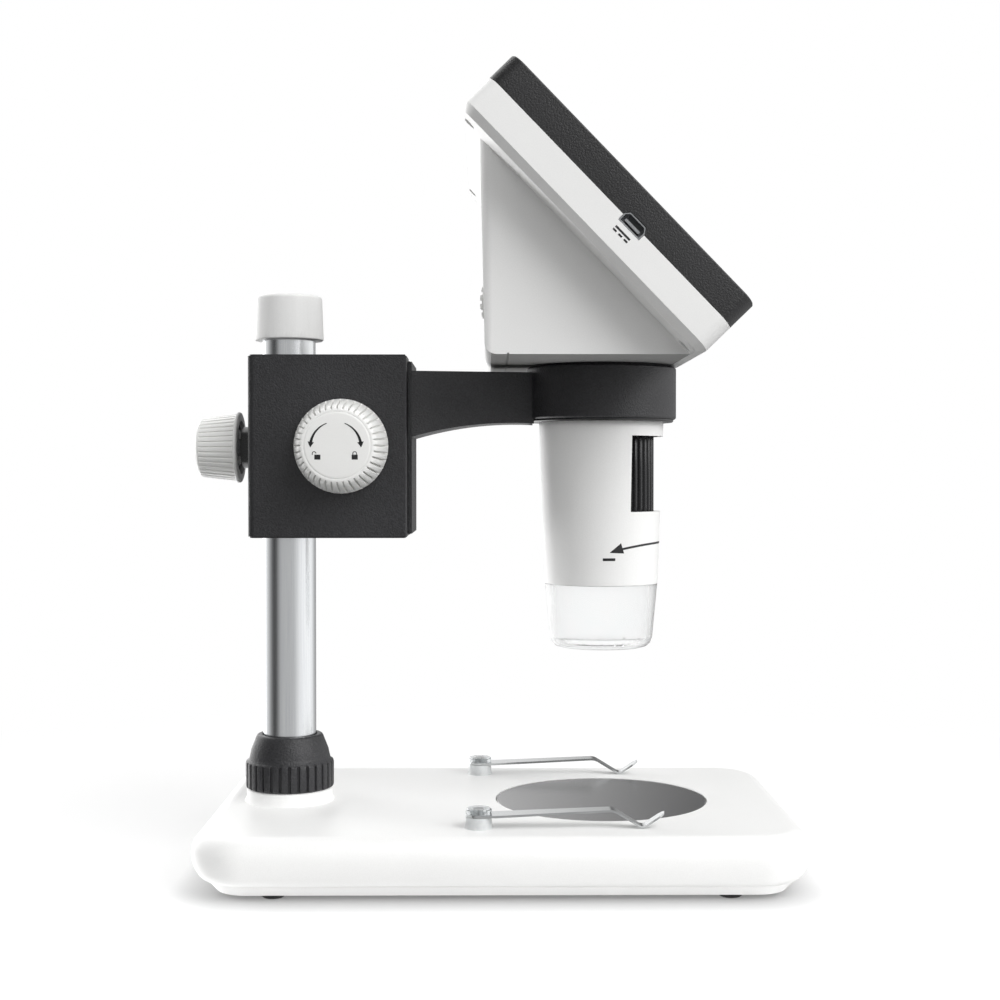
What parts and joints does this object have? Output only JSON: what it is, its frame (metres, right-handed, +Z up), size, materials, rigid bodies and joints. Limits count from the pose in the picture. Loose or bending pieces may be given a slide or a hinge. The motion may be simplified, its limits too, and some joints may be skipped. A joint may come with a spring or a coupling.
{
  "type": "digital desk microscope",
  "caption": "Desk microscope with a sloping built-in screen, a light tube in a ring arm, a rack-and-pinion block on a round pole, and a flat base with stage clips.",
  "frame": {"origin": "on the table, under the middle of the object's bounding box", "axes": "+Z up; +X from the pole towards the screen's low edge, where the user sits; +Y to the user's right"},
  "size_m": [0.168, 0.12, 0.2138],
  "materials": {
    "white_abs": "satin moulded",
    "black_abs": "fine-grain moulded",
    "bezel_black": "fine-grain moulded",
    "black_rubber": "matt",
    "screw_steel": "plated",
    "grey_disc": "satin",
    "pole_aluminium": "satin anodised",
    "clear_plastic": "clear moulded",
    "clip_cap": "clear over metal",
    "spring_steel": "nickel plated",
    "liner_nylon": "moulded nylon",
    "brass": "machined",
    "screen_glass": "polished",
    "lcd": "polarised film",
    "board_green": "solder mask",
    "board_white": "solder mask",
    "battery_foil": "laminate pouch",
    "key_grey": "moulded",
    "lens_glass": "polished",
    "ribbon": "polyimide film",
    "led": "clear resin"
  },
  "bodies": {
    "stand": {"base_shell": "white_abs", "base_bottom_cover": "white_abs", "rubber_feet": "black_rubber", "base_screws": "screw_steel", "stage_disc": "grey_disc", "pole_collet": "white_abs", "pole": "pole_aluminium", "pole_cap": "white_abs", "clip_posts": "clear_plastic", "clip_caps": "clip_cap"},
    "lock_nut": {"pole_lock_nut": "black_abs"},
    "clip_front": {"stage_clip_front": "spring_steel"},
    "clip_rear": {"stage_clip_rear": "spring_steel"},
    "pole_sleeve": {"pole_liner": "liner_nylon"},
    "carriage": {"block_housing": "black_abs", "clamp_collar": "black_abs"},
    "clamp": {"clamp_knob": "white_abs", "clamp_knob_core": "black_abs", "clamp_screw": "screw_steel"},
    "lock": {"lock_knob": "white_abs"},
    "focus_drive": {"pinion_shaft": "screw_steel", "focus_pinion": "brass", "focus_knob": "white_abs"},
    "arm": {"slide_plate": "black_abs", "focus_rack": "brass", "slide_screws": "screw_steel", "focus_arm": "black_abs"},
    "head_turn": {"ring_sleeve": "black_abs"},
    "head": {"wedge_housing": "white_abs", "display_back": "white_abs", "display_bezel": "bezel_black", "display_window": "screen_glass", "lcd_panel": "lcd", "main_board": "board_green", "battery": "battery_foil", "usb_socket": "screw_steel", "card_socket": "screw_steel", "key_board": "board_green", "housing_screws": "screw_steel", "dimmer_pot": "black_abs", "tube_shell": "white_abs", "lens_guide": "black_abs", "sensor_board": "board_green", "sensor_ribbon": "ribbon", "led_board": "board_white", "led_lamps": "led", "clear_hood": "clear_plastic"},
    "dimmer": {"dimmer_wheel": "white_abs"},
    "tube_wheel": {"focus_wheel": "black_abs"},
    "lens": {"lens_carrier": "black_abs", "lens_glass": "lens_glass"},
    "key_power": {"key_power": "key_grey"},
    "key_menu": {"key_menu": "key_grey"},
    "key_up": {"key_up": "key_grey"},
    "key_down": {"key_down": "key_grey"},
    "key_ok": {"key_ok": "key_grey"},
    "key_photo": {"key_photo": "key_grey"}
  },
  "joints": [
    {"name": "pole_nut_turn", "type": "hinge", "parent": "stand", "child": "lock_nut", "pos_m": [-0.0578, 0, 0.028], "axis": [0, 0, 1], "range_deg": [0, 270]},
    {"name": "front_clip_turn", "type": "hinge", "parent": "stand", "child": "clip_front", "pos_m": [-0.0036, -0.0375, 0.021], "axis": [0, 0, 1], "range_deg": [-15, 40]},
    {"name": "rear_clip_turn", "type": "hinge", "parent": "stand", "child": "clip_rear", "pos_m": [-0.0036, 0.0375, 0.021], "axis": [0, 0, -1], "range_deg": [-15, 40]},
    {"name": "pole_slide", "type": "slide", "parent": "stand", "child": "pole_sleeve", "axis": [0, 0, 1], "range_m": [-0.025, 0.005]},
    {"name": "carriage_swivel", "type": "hinge", "parent": "pole_sleeve", "child": "carriage", "pos_m": [-0.0578, 0, 0.1175], "axis": [0, 0, 1], "range_deg": [-90, 90]},
    {"name": "clamp_turn", "type": "hinge", "parent": "carriage", "child": "clamp", "pos_m": [-0.0714, 0, 0.1175], "axis": [-1, 0, 0], "range_deg": [0, 270]},
    {"name": "lock_turn", "type": "hinge", "parent": "carriage", "child": "lock", "pos_m": [-0.0412, -0.025, 0.1175], "axis": [0, -1, 0], "range_deg": [0, 120]},
    {"name": "focus_slide", "type": "slide", "parent": "carriage", "child": "arm", "axis": [0, 0, 1], "range_m": [-0.012, 0.012]},
    {"name": "focus_turn", "type": "hinge", "parent": "carriage", "child": "focus_drive", "pos_m": [-0.0412, 0, 0.1175], "axis": [0, 1, 0], "range_deg": [-116, 116]},
    {"name": "head_swivel", "type": "hinge", "parent": "arm", "child": "head_turn", "pos_m": [0.0312, 0, 0.1324], "axis": [0, 0, 1], "range_deg": [-30, 30]},
    {"name": "head_lift", "type": "slide", "parent": "head_turn", "child": "head", "axis": [0, 0, 1], "range_m": [0, 0.085]},
    {"name": "dimmer_turn", "type": "hinge", "parent": "head", "child": "dimmer", "pos_m": [0.0097, -0.025, 0.1561], "axis": [0, 1, 0], "range_deg": [-135, 135]},
    {"name": "tube_focus_turn", "type": "hinge", "parent": "head", "child": "tube_wheel", "pos_m": [0.0312, 0, 0.11], "axis": [0, 0, 1], "range_deg": [-150, 150]},
    {"name": "lens_slide", "type": "slide", "parent": "head", "child": "lens", "axis": [0, 0, 1], "range_m": [-0.004, 0.004]},
    {"name": "key_power_press", "type": "slide", "parent": "head", "child": "key_power", "axis": [-0.7175, 0, -0.6965], "range_m": [0, 0.0005], "stiffness_N_per_m": 400},
    {"name": "key_menu_press", "type": "slide", "parent": "head", "child": "key_menu", "axis": [-0.7175, 0, -0.6965], "range_m": [0, 0.0005], "stiffness_N_per_m": 400},
    {"name": "key_up_press", "type": "slide", "parent": "head", "child": "key_up", "axis": [-0.7175, 0, -0.6965], "range_m": [0, 0.0005], "stiffness_N_per_m": 400},
    {"name": "key_down_press", "type": "slide", "parent": "head", "child": "key_down", "axis": [-0.7175, 0, -0.6965], "range_m": [0, 0.0005], "stiffness_N_per_m": 400},
    {"name": "key_ok_press", "type": "slide", "parent": "head", "child": "key_ok", "axis": [-0.7175, 0, -0.6965], "range_m": [0, 0.0005], "stiffness_N_per_m": 400},
    {"name": "key_photo_press", "type": "slide", "parent": "head", "child": "key_photo", "axis": [-0.7175, 0, -0.6965], "range_m": [0, 0.0005], "stiffness_N_per_m": 400}
  ],
  "couplings": [
    {"joint": "focus_turn", "follows": "focus_slide", "rad_per_m": -166.67},
    {"joint": "tube_focus_turn", "follows": "lens_slide", "rad_per_m": 654.49}
  ]
}
